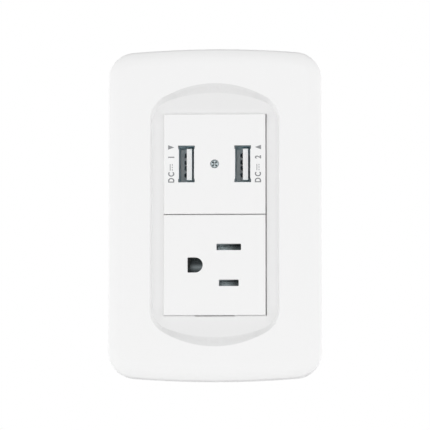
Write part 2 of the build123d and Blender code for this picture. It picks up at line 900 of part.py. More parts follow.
safety_capacitor_x = safety_capacitor_inset - power_board_width / 2
safety_capacitor_z = safety_capacitor_end - power_board_height / 2
with BuildPart() as safety_capacitor:
    disc_level = power_board_front + lead_length + safety_capacitor_diameter / 2
    disc_z = usb_z + safety_capacitor_z
    with BuildSketch(across_plane(disc_z)):
        with Locations((safety_capacitor_x, disc_level)):
            Circle(safety_capacitor_diameter / 2)
    extrude(amount=safety_capacitor_thickness / 2, both=True)
    chamfer(edges().filter_by(GeomType.CIRCLE), safety_chamfer)
    for way in (-1, 1):
        lead = (safety_capacitor_x + way * safety_lead_spacing / 2, disc_z)
        post(lead_diameter, lead, power_board_front, disc_level)

fuse_x = power_board_width / 2 - fuse_inset - fuse_length / 2
fuse_z = fuse_end - power_board_height / 2
with BuildPart() as fuse_resistor:
    fuse_level = power_board_front + fuse_lift + fuse_diameter / 2
    with BuildSketch(upright_plane(fuse_x, usb_z + fuse_z)):
        with Locations((0, fuse_level)):
            Circle(fuse_diameter / 2)
    extrude(amount=fuse_length / 2, both=True)
    chamfer(edges().filter_by(GeomType.CIRCLE), fuse_chamfer)
    with BuildSketch(upright_plane(fuse_x, usb_z + fuse_z)):
        with Locations((0, fuse_level)):
            Circle(lead_diameter / 2)
    extrude(amount=fuse_length / 2 + lead_diameter, both=True)
    for way in (-1, 1):
        lead = (fuse_x + way * (fuse_length / 2 + lead_diameter), usb_z + fuse_z)
        post(lead_diameter, lead, power_board_front, fuse_level + lead_diameter / 2)


def leaded_package(x, z, length, width, height):
    """Moulded package on the power board, with two legs along each long side."""
    centre = (x, usb_z + z)
    slab(length, width, centre, power_board_front + package_lift, power_board_front + height)
    chamfer(faces().sort_by(Axis.Y)[0].edges(), package_chamfer)
    for way in (-1, 1):
        leg = (x + way * package_leg_spacing / 2, usb_z + z)
        slab(
            package_leg, width + 2 * package_leg_reach, leg,
            power_board_front, power_board_front + package_leg,
        )


rectifier_offset = (output_capacitor_diameter + rectifier_length) / 2 + rectifier_gap
rectifier_x = output_capacitor_x + output_capacitor_spacing + rectifier_offset
rectifier_z = output_capacitor_z - rectifier_drop
with BuildPart() as bridge_rectifier:
    leaded_package(rectifier_x, rectifier_z, rectifier_length, rectifier_width, rectifier_height)

chip_z = pin_row_z + (header_block + chip_width) / 2 + package_leg_reach + chip_gap
with BuildPart() as controller_chip:
    leaded_package(0, chip_z, chip_length, chip_width, chip_height)

# Terminal plates of the charger: a plate in each pocket, with a tab on the power board
with BuildPart() as usb_terminal_plates:
    for z in terminal_places:
        half = terminal_plate_width / 2
        span_slab(
            terminal_back_x, terminal_face_x, z - half, z + half,
            power_board_front, terminal_level + terminal_plate_reach,
        )
        half = terminal_tab_width / 2
        tab_end = power_board_width / 2 - terminal_tab_length
        span_slab(
            tab_end, terminal_back_x, z - half, z + half,
            power_board_front, power_board_front + terminal_sheet,
        )
        terminal_hole(1, z, terminal_back_x, 0)

with BuildPart() as usb_terminal_screws:
    for z in terminal_places:
        terminal_screw(1, z)

# Outlet insert: an opening's place, slot and contact widths, grip, and the side and height of its terminal
Opening = namedtuple("Opening", "x z slot width grip side terminal_z")
slot_z = slot_spacing / 2
neutral = Opening(
    slot_x, slot_z, neutral_slot_width, blade_contact_width, blade_grip, 1, terminal_offset
)
line = Opening(
    slot_x, -slot_z, line_slot_width, blade_contact_width, blade_grip, 1, -terminal_offset
)
earth = Opening(
    earth_x, 0, earth_hole_size, earth_contact_width, earth_grip, -1, -terminal_offset
)
housing_screw_x = terminal_back_x - housing_screw_inset
housing_screw_z = hollow_height / 2 - housing_screw_end
housing_screw_places = [
    (-housing_screw_x, outlet_z + housing_screw_z),
    (housing_screw_x, outlet_z - housing_screw_z),
]
housing_boss_diameter = housing_screw_diameter + 2 * housing_boss_wall
housing_seat = outlet_back + housing_head_height

with BuildPart() as outlet_front_cover:
    insert_cap(outlet_centre, outlet_face_wall)
    for place in housing_screw_places:
        post(housing_boss_diameter, place, joint_level, outlet_face_back)
        post(housing_screw_diameter, place, joint_level, outlet_face_back, Mode.SUBTRACT)
    for opening in (neutral, line):
        with BuildSketch(face_plane(opening.x, outlet_z + opening.z, outlet_face_back)):
            RectangleRounded(opening.slot, slot_height, slot_corner_radius)
        extrude(amount=outlet_face_wall, mode=Mode.SUBTRACT)
    # The earth hole is a D with its flat side on the left
    with BuildSketch(face_plane(earth_x, outlet_z, outlet_face_back)):
        radius = earth_hole_size / 2
        with BuildLine():
            Polyline((0, -radius), (-radius, -radius), (-radius, radius), (0, radius))
            ThreePointArc((0, radius), (radius, 0), (0, -radius))
        make_face()
        fillet(vertices().group_by(Axis.X)[0], earth_corner_radius)
    extrude(amount=outlet_face_wall, mode=Mode.SUBTRACT)


def grip_half(opening):
    """Half height of a contact over the outside of its flared leaves."""
    return opening.grip / 2 + grip_flare + terminal_sheet


def strip_span(opening):
    """The two heights between which a contact's strip runs to its terminal."""
    way = 1 if opening.terminal_z > 0 else -1
    near = way * max(way * opening.z - blade_grip, 0)
    far = opening.terminal_z + way * (terminal_plate_width / 2 - strip_inset)
    return outlet_z + near, outlet_z + far


def contact_room(opening):
    """Chamber, strip channel, plate slot and terminal pocket of one contact in the outlet's base."""
    side = opening.side
    room = max(opening.slot, opening.width) / 2 + chamber_gap
    half = grip_half(opening) + chamber_gap
    floor = grip_back - terminal_sheet - terminal_gap
    centre_z = outlet_z + opening.z
    span_slab(
        opening.x - room, opening.x + room, centre_z - half, centre_z + half,
        floor, plug_front, Mode.SUBTRACT,
    )
    low, high = sorted(strip_span(opening))
    span_slab(
        opening.x, side * (terminal_face_x + terminal_gap), low - chamber_gap, high + chamber_gap,
        floor, plug_front, Mode.SUBTRACT,
    )
    plate_z = outlet_z + opening.terminal_z
    half = terminal_plate_width / 2 + terminal_gap
    span_slab(
        side * (terminal_back_x - terminal_gap), side * (terminal_face_x + terminal_gap),
        plate_z - half, plate_z + half,
        terminal_level - terminal_plate_reach - terminal_gap, plug_front, Mode.SUBTRACT,
    )
    terminal_pocket(side, plate_z, outlet_back, Mode.SUBTRACT)
    screw_end = terminal_back_x - terminal_screw_length - terminal_gap
    terminal_hole(side, plate_z, screw_end, terminal_gap)


with BuildPart() as outlet_rear_housing:
    slab(body_width, body_height, outlet_centre, outlet_back, joint_level)
    chamfer(faces().sort_by(Axis.Y)[-1].edges(), back_edge_chamfer)
    plug = (lip_inner_width - 2 * plug_gap, lip_inner_height - 2 * plug_gap)
    groove_floor = joint_level - lip_depth - lip_gap
    ring((hollow_width, hollow_height), plug, outlet_centre, groove_floor, joint_level, Mode.SUBTRACT)
    slab(*plug, outlet_centre, joint_level, plug_front)
    snap_recesses(outlet_centre, Mode.SUBTRACT)
    for opening in (neutral, line, earth):
        contact_room(opening)
    for place in housing_screw_places:
        post(housing_boss_diameter + 2 * plug_gap, place, joint_level, plug_front, Mode.SUBTRACT)
        post(
            housing_screw_diameter + 2 * housing_screw_gap, place, outlet_back, joint_level, Mode.SUBTRACT
        )
        post(
            housing_head_diameter + 2 * housing_screw_gap, place, outlet_back, housing_seat, Mode.SUBTRACT
        )


def grip_line(half_gap, floor):
    """One side of the sheet of a gripping contact, from one flared leaf round to the other."""
    mouth = half_gap + grip_flare
    belly = half_gap + grip_belly
    throat = grip_front - grip_flare_height
    shoulder = grip_back + grip_belly_height
    leaf = [(mouth, grip_front), (half_gap, throat), (belly, shoulder), (belly, floor)]
    return [(-z, level) for z, level in leaf] + leaf[::-1]


def grip_contact(opening):
    """Folded contact: two leaves that grip the plug, a strip to the side and a terminal plate."""
    side = opening.side
    inner = grip_line(opening.grip / 2, grip_back)
    outer = grip_line(opening.grip / 2 + terminal_sheet, grip_back - terminal_sheet)
    with BuildPart() as contact:
        with BuildSketch(upright_plane(opening.x - opening.width / 2, outlet_z + opening.z)):
            with BuildLine():
                FilletPolyline(*inner, radius=grip_bend_radius)
                FilletPolyline(*outer, radius=grip_bend_radius)
                Line(inner[0], outer[0])
                Line(inner[-1], outer[-1])
            make_face()
        extrude(amount=opening.width)
        low, high = strip_span(opening)
        span_slab(
            opening.x, side * terminal_face_x, low, high, grip_back - terminal_sheet, grip_back
        )
        half = terminal_plate_width / 2
        plate_z = outlet_z + opening.terminal_z
        span_slab(
            side * terminal_back_x, side * terminal_face_x, plate_z - half, plate_z + half,
            terminal_level - terminal_plate_reach, grip_back,
        )
        terminal_hole(side, plate_z, terminal_back_x, 0)
    return contact


def outlet_terminal_screw(opening):
    """Terminal screw of one contact of the outlet."""
    with BuildPart() as terminal:
        terminal_screw(opening.side, outlet_z + opening.terminal_z)
    return terminal


neutral_contact, line_contact, earth_contact = [grip_contact(o) for o in (neutral, line, earth)]
neutral_terminal_screw, line_terminal_screw, earth_terminal_screw = [
    outlet_terminal_screw(o) for o in (neutral, line, earth)
]

with BuildPart() as outlet_housing_screws:
    for x, z in housing_screw_places:
        seat = Plane(origin=(x, -housing_seat, z), x_dir=(1, 0, 0), z_dir=(0, 1, 0))
        screw(
            seat, housing_head_diameter, housing_head_height,
            housing_screw_diameter, housing_screw_length,
        )

pieces = {
    "cover_plate": cover_plate,
    "support_frame": support_frame,
    "box_screws": box_screws,
    "usb_front_cover": usb_front_cover,
    "usb_rear_housing": usb_rear_housing,
    "usb_cover_screw": usb_cover_screw,
    "usb_shell_left": usb_shell_left,
    "usb_shell_right": usb_shell_right,
    "usb_insulator_left": usb_insulator_left,
    "usb_insulator_right": usb_insulator_right,
    "usb_contacts_left": usb_contacts_left,
    "usb_contacts_right": usb_contacts_right,
    "usb_socket_board": usb_socket_board,
    "usb_power_board": usb_power_board,
    "board_link_pins": board_link_pins,
    "board_link_header": board_link_header,
    "transformer_core": transformer_core,
    "transformer_bobbin": transformer_bobbin,
    "transformer_winding": transformer_winding,
    "bulk_capacitors": bulk_capacitors,
    "output_capacitors": output_capacitors,
    "safety_capacitor": safety_capacitor,
    "fuse_resistor": fuse_resistor,
    "bridge_rectifier": bridge_rectifier,
    "controller_chip": controller_chip,
    "usb_terminal_plates": usb_terminal_plates,
    "usb_terminal_screws": usb_terminal_screws,
    "outlet_front_cover": outlet_front_cover,
    "outlet_rear_housing": outlet_rear_housing,
    "neutral_contact": neutral_contact,
    "line_contact": line_contact,
    "earth_contact": earth_contact,
    "neutral_terminal_screw": neutral_terminal_screw,
    "line_terminal_screw": line_terminal_screw,
    "earth_terminal_screw": earth_terminal_screw,
    "outlet_housing_screws": outlet_housing_screws,
}
for name, piece in pieces.items():
    piece.part.label = name
    export_step(piece.part, f"parts/{name}.step")
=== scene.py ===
"""USB wall socket: finishes, fine details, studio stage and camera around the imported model.

Lengths are metres, as everywhere in Blender. The front looks along -Y and +Z is up.
"""

import math
from collections import namedtuple

import bmesh
import bpy
from mathutils import Matrix, Vector


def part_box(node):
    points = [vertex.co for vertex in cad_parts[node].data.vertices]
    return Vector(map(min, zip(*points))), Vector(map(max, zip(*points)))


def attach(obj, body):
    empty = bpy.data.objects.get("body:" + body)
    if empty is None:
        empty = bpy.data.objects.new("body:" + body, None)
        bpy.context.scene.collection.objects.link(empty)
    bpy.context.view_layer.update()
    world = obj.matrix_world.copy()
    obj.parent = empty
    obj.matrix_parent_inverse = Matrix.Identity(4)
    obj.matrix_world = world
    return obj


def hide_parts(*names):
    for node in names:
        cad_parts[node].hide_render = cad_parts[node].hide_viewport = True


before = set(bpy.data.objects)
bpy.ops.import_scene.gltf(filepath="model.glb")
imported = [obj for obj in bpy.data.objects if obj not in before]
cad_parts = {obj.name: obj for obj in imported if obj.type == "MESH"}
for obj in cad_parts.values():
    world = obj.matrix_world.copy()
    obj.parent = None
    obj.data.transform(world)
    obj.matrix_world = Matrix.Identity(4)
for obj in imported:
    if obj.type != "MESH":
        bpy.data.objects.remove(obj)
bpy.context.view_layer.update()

bl_info = {
    "name": "USB wall socket",
    "version": (1, 0, 0),
    "blender": (4, 5, 0),
    "location": "View3D > Sidebar > Wall Socket",
    "description": "Finishes, fine details and studio stage of a USB wall socket",
    "category": "Object",
}

MM = 0.001
MICRON = 1e-6

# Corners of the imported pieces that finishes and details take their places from
plate_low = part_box("cover_plate")[0]
shell_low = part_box("usb_shell_left")[0]
neutral_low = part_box("neutral_contact")[0]
charger_low, charger_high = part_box("usb_front_cover")
outlet_low, outlet_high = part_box("outlet_front_cover")
screw_low, screw_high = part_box("box_screws")

# Refraction of plastics, which paint and paper come close to, and the width of drifts in their colour
PLASTIC_IOR = 1.53
RESIN_DRIFT = 9 * MM

# Roughness of a plating's glossiest and most matt spots, as shares of the one it is given
GLOSSY_SPOT = 0.75
MATT_SPOT = 1.3

# Gloss of the plate: roughness of its rim and of its dish, and the specular level of both
RIM_ROUGHNESS = 0.42
DISH_ROUGHNESS = 0.6
PLATE_SPECULAR = 0.2

# Shares of the dish's depth at which its etch and its floor start and are fully there
ETCH_SHARES = (0.01, 0.06)
FLOOR_SHARES = (0.9, 0.99)
# Shares of its half width over which the painted shade on the slopes runs out, and the same for its ends,
# where the floor is painted darker than beside the inserts, as lengths beyond the ends of the window
RUN_OUT_SHARES = (0.65, 0.92)
DISH_END = (-4 * MM, 2 * MM)
# Room round the dish that still counts as its inside
DISH_MARGIN = 0.5 * MM

# Depths behind the front edge at which the shells' plating and the contacts' gleam start and are full,
# and how metallic the contacts' lips look in front of that
SHEARED_EDGE = (0.04 * MM, 0.1 * MM)
MATT_LIPS = (2.4 * MM, 3.4 * MM)
LIP_METALLIC = 0.1

# Reach of the painted shade in a screw's drive, and the shares of open sky at which it thins out and is
# gone
SHADE_REACH = 0.6 * MM
SHADE_SKY = (0.55, 0.95)

# Angles between faces that count as flat, as sharp, and as smooth enough to be shaded as one
FLAT_ANGLE = math.radians(0.2)
SHARP_ANGLE = math.radians(35)
SMOOTH_ANGLE = math.radians(40)
# Steps across a broken edge, and the hair by which softened pieces are drawn inwards
EDGE_SEGMENTS = 3
KEPT_INSIDE = 0.3 * MICRON


def linear(hex_colour):
    """Linear RGB of an sRGB hex colour."""
    parts = [int(hex_colour[i : i + 2], 16) / 255 for i in (0, 2, 4)]
    return tuple(c / 12.92 if c <= 0.04045 else ((c + 0.055) / 1.055) ** 2.4 for c in parts)


def colour_property(name, description, hex_colour):
    """Colour that a user can change, with its default given as sRGB hex."""
    return bpy.props.FloatVectorProperty(
        name=name, description=description, subtype="COLOR", size=3, min=0, max=1,
        default=linear(hex_colour),
    )


def length_property(name, description, default):
    """Length that a user can change, in metres."""
    return bpy.props.FloatProperty(
        name=name, description=description, unit="LENGTH", default=default, precision=5
    )


def level_property(name, description, default):
    """Plain number that a user can change."""
    return bpy.props.FloatProperty(name=name, description=description, default=default)


def angle_property(name, description, degrees):
    """Angle that a user can change, with its default given in degrees."""
    return bpy.props.FloatProperty(
        name=name, description=description, subtype="ANGLE", default=math.radians(degrees)
    )


class SocketColours(bpy.types.PropertyGroup):
    """Colours of the finishes"""

    plate: colour_property("Plate", "Satin rim of the cover plate", "F1F1F1")
    # Painted light: the dish's floor beside the inserts is painted lighter than at its ends, against the
    # shade that falls between the inserts and the dish's walls
    dish: colour_property("Dish", "Matt floor of the dish beside the inserts", "EDEDED")
    dish_end: colour_property("Dish ends", "Matt floor of the dish above and below the inserts", "E6E6E6")
    # Painted shade on the slopes at the dish's ends
    slope: colour_property("Slope", "Coarser etch on the slopes at the dish's ends", "E1E1E1")
    insert: colour_property("Insert", "Faces of the two inserts", "F0F0F0")
    support: colour_property("Support frame", "Frame behind the plate", "E6E6E3")
    housing: colour_property("Housing", "Rear housings of the inserts", "A9ACAD")
    tongue: colour_property("Tongue", "Moulded tongues in the USB ports", "F5F5F4")
    ink: colour_property("Ink", "Printed signs beside the ports", "8E9092")
    nickel: colour_property("Nickel", "Plated shells of the USB ports", "DCF0F7")
    bare_steel: colour_property("Bare steel", "Sheared edges of the shells", "6E7A7E")
    zinc: colour_property("Zinc", "Plated screws", "D2DCDF")
    # Painted shade in the drives of the screws
    painted_recess_shade: colour_property("Recess", "Oil and dust in the drives of the screws", "30383A")
    # Painted highlight: the bright tin along the contacts, which fades into the dull tin
    tin: colour_property("Tin", "Rubbed plating of the outlet's contacts", "E9F6FA")
    dull_tin: colour_property("Dull tin", "Plating that no plug rubs", "6C7476")
    # Painted shade: the spring contacts are painted dark grey for the shade deep in the ports
    spring: colour_property("Spring", "Spring contacts of the USB ports and the pins", "5C6264")
    mask: colour_property("Solder mask", "Circuit boards", "1C5A33")
    black: colour_property("Black", "Black mouldings inside the charger", "1E1F20")
    ferrite: colour_property("Ferrite", "Core of the transformer", "3A3A3B")
    tape: colour_property("Tape", "Tape around the transformer's winding", "D9B12E")
    sleeve: colour_property("Sleeve", "Shrunk sleeves of the capacitors", "202A4C")
    epoxy: colour_property("Epoxy", "Coat of the disc capacitor", "2F5FA8")
    ceramic: colour_property("Ceramic", "Paint of the fuse resistor", "4F8F6B")
    floor: colour_property("Floor", "Studio floor", "F2F2F2")


class SocketSizes(bpy.types.PropertyGroup):
    """Sizes of broken edges, of the dish, of the threads and of the printed signs"""

    edge_break: length_property("Edge break", "Largest radius on the edges of mouldings", 0.18 * MM)
    sheet_break: length_property("Sheet break", "Largest radius on the edges of metal pieces", 0.05 * MM)
    dish_depth: length_property("Dish depth", "Depth of the dish below the plate's front", 1.6 * MM)
    dish_width: length_property("Dish width", "Width of the dish at the plate's front", 45.82 * MM)
    dish_height: length_property("Dish height", "Height of the dish at the plate's front", 93.52 * MM)
    window_height: length_property("Window height", "Height of the window for the inserts", 71.5 * MM)
    thread_pitch: length_property("Thread pitch", "Pitch of the box screws", 0.794 * MM)
    thread_depth: length_property("Thread depth", "Depth of the box screws' thread", 0.42 * MM)
    shank: length_property("Shank", "Outside diameter of the box screws' thread", 3.5 * MM)
    neck: length_property("Neck", "Diameter of the box screws' plain neck", 2.9 * MM)
    sign_offset: length_property("Sign offset", "Sign from the middle of the charger", 15.35 * MM)
    sign_height: length_property("Sign height", "Height of letters and arrows", 2.2 * MM)
    sign_weight: length_property("Sign weight", "Extra thickness of the letters' strokes", 0.07 * MM)
    sign_narrow: level_property("Sign narrow", "Width of the letters against their own", 0.8)
    line_length: length_property("Line length", "Length of the direct-current sign", 2.3 * MM)
    line_weight: length_property("Line weight", "Thickness of the direct-current sign's lines", 0.24 * MM)
    line_gap: length_property("Line gap", "Gap between the direct-current sign's lines", 0.5 * MM)
    arrow_width: length_property("Arrow width", "Width of the arrows", 1.6 * MM)
    ink_sink: length_property("Ink sink", "Ink below the face that carries it", 0.01 * MM)
    ink_proud: length_property("Ink proud", "Ink above the face that carries it", 0.02 * MM)


class SocketStage(bpy.types.PropertyGroup):
    """Light, camera and floor of the studio"""

    light_level: level_property("Light level", "Light from straight ahead", 1.48)
    light_fall: level_property("Light fall", "Loss of light straight above and below", 2.3)
    light_side: level_property("Light side", "Gain of light from both sides", 0.3)
    light_left: level_property("Light left", "Further gain of light from the left", 0.03)
    camera_turn: angle_property("Camera turn", "Camera to the right of straight ahead", 2.6)
    camera_tilt: angle_property("Camera tilt", "Camera above straight ahead", -4.8)
    camera_distance: length_property("Camera distance", "Camera from the plate's front", 1200 * MM)
    view_width: length_property("View width", "Width that the picture shows at the plate", 151.9 * MM)
    view_right: length_property("View right", "Middle of the picture, right of the plate's", 0.16 * MM)
    view_up: length_property("View up", "Middle of the picture, above the plate's", -0.26 * MM)
    floor_drop: length_property("Floor drop", "Floor below the plate's lower edge", 500 * MM)
    floor_width: length_property("Floor width", "Width and depth of the floor", 600 * MM)
    floor_glow: level_property("Floor glow", "Glow that keeps the floor pale where it is seen", 0.6)


# A material in the making: its nodes, its shader, the place on the object and the colour there
Finish = namedtuple("Finish", "material tree shader place tint")


def fill(tree, node, links):
    """Fill a node's inputs from other nodes, from single outputs of theirs or from values."""
    for name, value in links.items():
        if isinstance(value, bpy.types.Node):
            value = next(output for output in value.outputs if output.enabled)
        if isinstance(value, bpy.types.NodeSocket):
            tree.links.new(value, node.inputs[name])
        else:
            node.inputs[name].default_value = value


def add_node(tree, kind, links=None, **settings):
    """Add a node, set its fields and fill its inputs."""
    node = tree.nodes.new(kind)
    for field, value in settings.items():
        setattr(node, field, value)
    fill(tree, node, links or {})
    return node


def start_finish(name, inputs):
    """New material, its one Principled shader with constant inputs, and the place on the object."""
    material = bpy.data.materials.new(name)
    material.use_nodes = True
    tree = material.node_tree
    tree.nodes.clear()
    shader = add_node(tree, "ShaderNodeBsdfPrincipled", inputs)
    add_node(tree, "ShaderNodeOutputMaterial", {"Surface": shader})
    place = add_node(tree, "ShaderNodeTexCoord").outputs["Object"]
    return material, tree, shader, place


def rgba(colour):
    """Colour with full opacity, as a colour socket takes it."""
    return (*colour, 1.0)


def shade(colour, factor):
    """The same hue, lighter or darker."""
    return tuple(min(c * factor, 1.0) for c in colour)


def seen_directly(tree):
    """One for rays of the camera, mirrors and glass, and nought for those that light a surface."""
    path = add_node(tree, "ShaderNodeLightPath").outputs
    mirrored = add_node(
        tree, "ShaderNodeMath",
        {0: path["Is Glossy Ray"], 1: path["Is Transmission Ray"]}, operation="MAXIMUM",
    )
    return add_node(
        tree, "ShaderNodeMath", {0: path["Is Camera Ray"], 1: mirrored}, operation="MAXIMUM"
    )


def moulded(name, colour, roughness, grit, relief, mottle=0.992):
    """Moulded plastic, and coats much like it: even colour, soft gloss and the tool's fine grit."""
    material, tree, shader, place = start_finish(name, {"Roughness": roughness, "IOR": PLASTIC_IOR})
    # Resin never mixes quite evenly, so the colour drifts a little over some millimetres
    drift = add_node(tree, "ShaderNodeTexNoise", {"Vector": place, "Scale": 1 / RESIN_DRIFT})
    tint = add_node(
        tree, "ShaderNodeMix",
        {"Factor": drift, "A": rgba(shade(colour, mottle)), "B": rgba(colour)}, data_type="RGBA",
    )
    # The real grit is about a tenth of a millimetre; it is drawn coarser so that it shows
    wall = add_node(tree, "ShaderNodeTexNoise", {"Vector": place, "Scale": 1 / grit, "Detail": 3.0})
    bump = add_node(tree, "ShaderNodeBump", {"Height": wall, "Distance": relief})
    fill(tree, shader, {"Base Color": tint, "Normal": bump})
    return Finish(material, tree, shader, place, tint)


def plated(name, colour, roughness, blotch, wear=0.82):
    """Plated metal: bright, with a drift in colour and in gloss where it was handled."""
    material, tree, shader, place = start_finish(name, {"Metallic": 1.0})
    drift = add_node(tree, "ShaderNodeTexNoise", {"Vector": place, "Scale": 1 / blotch, "Detail": 4.0})
    gloss = add_node(
        tree, "ShaderNodeMapRange",
        {"Value": drift, "To Min": roughness * GLOSSY_SPOT, "To Max": roughness * MATT_SPOT},
    )
    tint = add_node(
        tree, "ShaderNodeMix",
        {"Factor": drift, "A": rgba(shade(colour, wear)), "B": rgba(colour)}, data_type="RGBA",
    )
    fill(tree, shader, {"Base Color": tint, "Roughness": gloss})
    return Finish(material, tree, shader, place, tint)


def plate_finish(colours, sizes):
    """Moulded ABS of the cover plate: satin rim, and a matt dish that reads a shade darker, with painted
    shade on the slopes at its ends and painted light on its floor beside the inserts.
    """
    base = moulded(
        "moulded_white_abs", colours.plate, roughness=RIM_ROUGHNESS, grit=1.1 * MM, relief=0.4 * MICRON
    )
    tree = base.tree
    axes = add_node(tree, "ShaderNodeSeparateXYZ", {"Vector": base.place}).outputs
    across = add_node(tree, "ShaderNodeMath", {0: axes["X"]}, operation="ABSOLUTE")
    up = add_node(tree, "ShaderNodeMath", {0: axes["Z"]}, operation="ABSOLUTE")
    # The matt etch of the tool starts at the dish's upper edge. The slopes at its ends carry painted
    # shade, which runs out towards the sides, and the floor beside the inserts is painted lighter than at
    # the ends, as painted light against the shade that falls between the inserts and the dish's walls
    stretches = (
        (axes["Y"], [plate_low.y + share * sizes.dish_depth for share in ETCH_SHARES]),
        (axes["Y"], [plate_low.y + share * sizes.dish_depth for share in FLOOR_SHARES]),
        (up, [sizes.window_height / 2 + beyond for beyond in DISH_END]),
        (across, [share * sizes.dish_width / 2 for share in RUN_OUT_SHARES]),
    )
    etch, floor, end, run_out = (
        add_node(tree, "ShaderNodeMapRange", {"Value": value, "From Min": start, "From Max": full})
        for value, (start, full) in stretches
    )
    slope = add_node(
        tree, "ShaderNodeMix",
        {"Factor": run_out, "A": rgba(colours.slope), "B": rgba(colours.dish)}, data_type="RGBA",
    )
    end_part = add_node(
        tree, "ShaderNodeMix",
        {"Factor": floor, "A": slope, "B": rgba(colours.dish_end)}, data_type="RGBA",
    )
    # Painted light beside the inserts, and painted shade on the slopes and floor at the ends
    etch_and_painted_tone = add_node(
        tree, "ShaderNodeMix",
        {"Factor": end, "A": rgba(colours.dish), "B": end_part}, data_type="RGBA",
    )
    # Only the dish is etched, though the plate's rolled edge lies as deep
    dish = etch
    for way, size in ((across, sizes.dish_width), (up, sizes.dish_height)):
        limit = size / 2 + DISH_MARGIN
        inside = add_node(tree, "ShaderNodeMath", {0: way, 1: limit}, operation="LESS_THAN")
        dish = add_node(tree, "ShaderNodeMath", {0: inside, 1: dish}, operation="MULTIPLY")
    colour = add_node(
        tree, "ShaderNodeMix", {"Factor": dish, "A": base.tint, "B": etch_and_painted_tone}, data_type="RGBA"
    )
    gloss = add_node(
        tree, "ShaderNodeMapRange",
        {"Value": dish, "To Min": RIM_ROUGHNESS, "To Max": DISH_ROUGHNESS},
    )
    fill(tree, base.shader, {"Base Color": colour, "Roughness": gloss})
    fill(tree, base.shader, {"Specular IOR Level": PLATE_SPECULAR})
    return base.material


def shell_finish(colours):
    """Nickel-plated steel sheet: cool and bright, with bare grey steel on its sheared front edge."""
    base = plated("nickel_plated_steel", colours.nickel, roughness=0.36, blotch=1.5 * MM, wear=0.9)
    tree = base.tree
    axes = add_node(tree, "ShaderNodeSeparateXYZ", {"Vector": base.place}).outputs
    start, full = (shell_low.y + behind for behind in SHEARED_EDGE)
    plating = add_node(
        tree, "ShaderNodeMapRange", {"Value": axes["Y"], "From Min": start, "From Max": full}
    )
    colour = add_node(
        tree, "ShaderNodeMix",
        {"Factor": plating, "A": rgba(colours.bare_steel), "B": base.tint}, data_type="RGBA",
    )
    fill(tree, base.shader, {"Base Color": colour})
    return base.material


def screw_finish(colours):
    """Zinc-plated steel: cool bright heads, with painted shade dark in their drives where the walls close
    in.
    """
    base = plated("zinc_plated_steel", colours.zinc, roughness=0.34, blotch=1.2 * MM, wear=0.9)
    tree = base.tree
    # Painted shade: dark where the drive's walls shut out the sky
    sky = add_node(
        tree, "ShaderNodeAmbientOcclusion", {"Distance": SHADE_REACH}, samples=8, only_local=True
    )
    start, full = SHADE_SKY
    unshaded = add_node(
        tree, "ShaderNodeMapRange", {"Value": sky.outputs["AO"], "From Min": start, "From Max": full}
    )
    colour = add_node(
        tree, "ShaderNodeMix",
        {"Factor": unshaded, "A": rgba(colours.painted_recess_shade), "B": base.tint}, data_type="RGBA",
    )
    fill(tree, base.shader, {"Base Color": colour})
    return base.material


def contact_finish(name, bright, dull, axis, highlight_at, near, far):
    """Tin-plated brass with a painted highlight: bright at one place along an axis, and dull elsewhere.
    """
    base = plated(name, bright, roughness=0.25, blotch=2.5 * MM, wear=0.92)
    tree = base.tree
    axes = add_node(tree, "ShaderNodeSeparateXYZ", {"Vector": base.place}).outputs
    # Painted highlight, fading with distance from its place along the axis
    along = add_node(tree, "ShaderNodeMath", {0: axes[axis], 1: highlight_at}, operation="SUBTRACT")
    apart = add_node(tree, "ShaderNodeMath", {0: along}, operation="ABSOLUTE")
    fade = add_node(tree, "ShaderNodeMapRange", {"Value": apart, "From Min": near, "From Max": far})
    colour = add_node(
        tree, "ShaderNodeMix", {"Factor": fade, "A": base.tint, "B": rgba(dull)}, data_type="RGBA"
    )
    # No plug rubs the flared lips at the front, so their tin has gone matt under its oxide
    start, full = (neutral_low.y + behind for behind in MATT_LIPS)
    metal = add_node(
        tree, "ShaderNodeMapRange",
        {"Value": axes["Y"], "From Min": start, "From Max": full, "To Min": LIP_METALLIC},
    )
    fill(tree, base.shader, {"Base Color": colour, "Metallic": metal})
    return base.material


def dress(material, *nodes):
    """Give CAD nodes a material in place of their plain one."""
    for node in nodes:
        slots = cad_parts[node].data.materials
        slots.clear()
        slots.append(material)


def soften(edge, *nodes):
    """Break the sharp edges of CAD nodes, by a radius that their shortest edges can make smaller."""
    for node in nodes:
        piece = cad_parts[node]
        weld = piece.modifiers.new("join split corners", "WELD")
        weld.merge_threshold = MICRON
        flat = piece.modifiers.new("join flat faces", "DECIMATE")
        flat.decimate_type = "DISSOLVE"
        flat.angle_limit = FLAT_ANGLE
        bevel = piece.modifiers.new("edge break", "BEVEL")
        bevel.width = edge
        bevel.segments = EDGE_SEGMENTS
        bevel.limit_method = "ANGLE"
        bevel.angle_limit = SHARP_ANGLE
        piece.modifiers.new("even shading", "WEIGHTED_NORMAL")
        # A hair inwards, so that rounding never leaves the solid's own box
        inset = piece.modifiers.new("kept inside", "DISPLACE")
        inset.mid_level = 0
        inset.strength = -KEPT_INSIDE


def add_piece(name, draft, material):
    """Object from a drafted mesh, fixed to the model and filed under one of its materials."""
    mesh = bpy.data.meshes.new(name)
    draft.to_mesh(mesh)
    draft.free()
    mesh.materials.append(material)
    piece = bpy.data.objects.new(name, mesh)
    bpy.context.scene.collection.objects.link(piece)
    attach(piece, "root")
    return piece


class SOCKET_OT_cover_plate(bpy.types.Operator):
    """Finish the cover plate: satin rim, matt dish and softly broken edges"""

    bl_idname = "socket.cover_plate"
    bl_label = "Cover plate"

    def execute(self, context):
        scene = context.scene
        dress(plate_finish(scene.socket_colours, scene.socket_sizes), "cover_plate")
        soften(scene.socket_sizes.edge_break, "cover_plate")
        return {"FINISHED"}


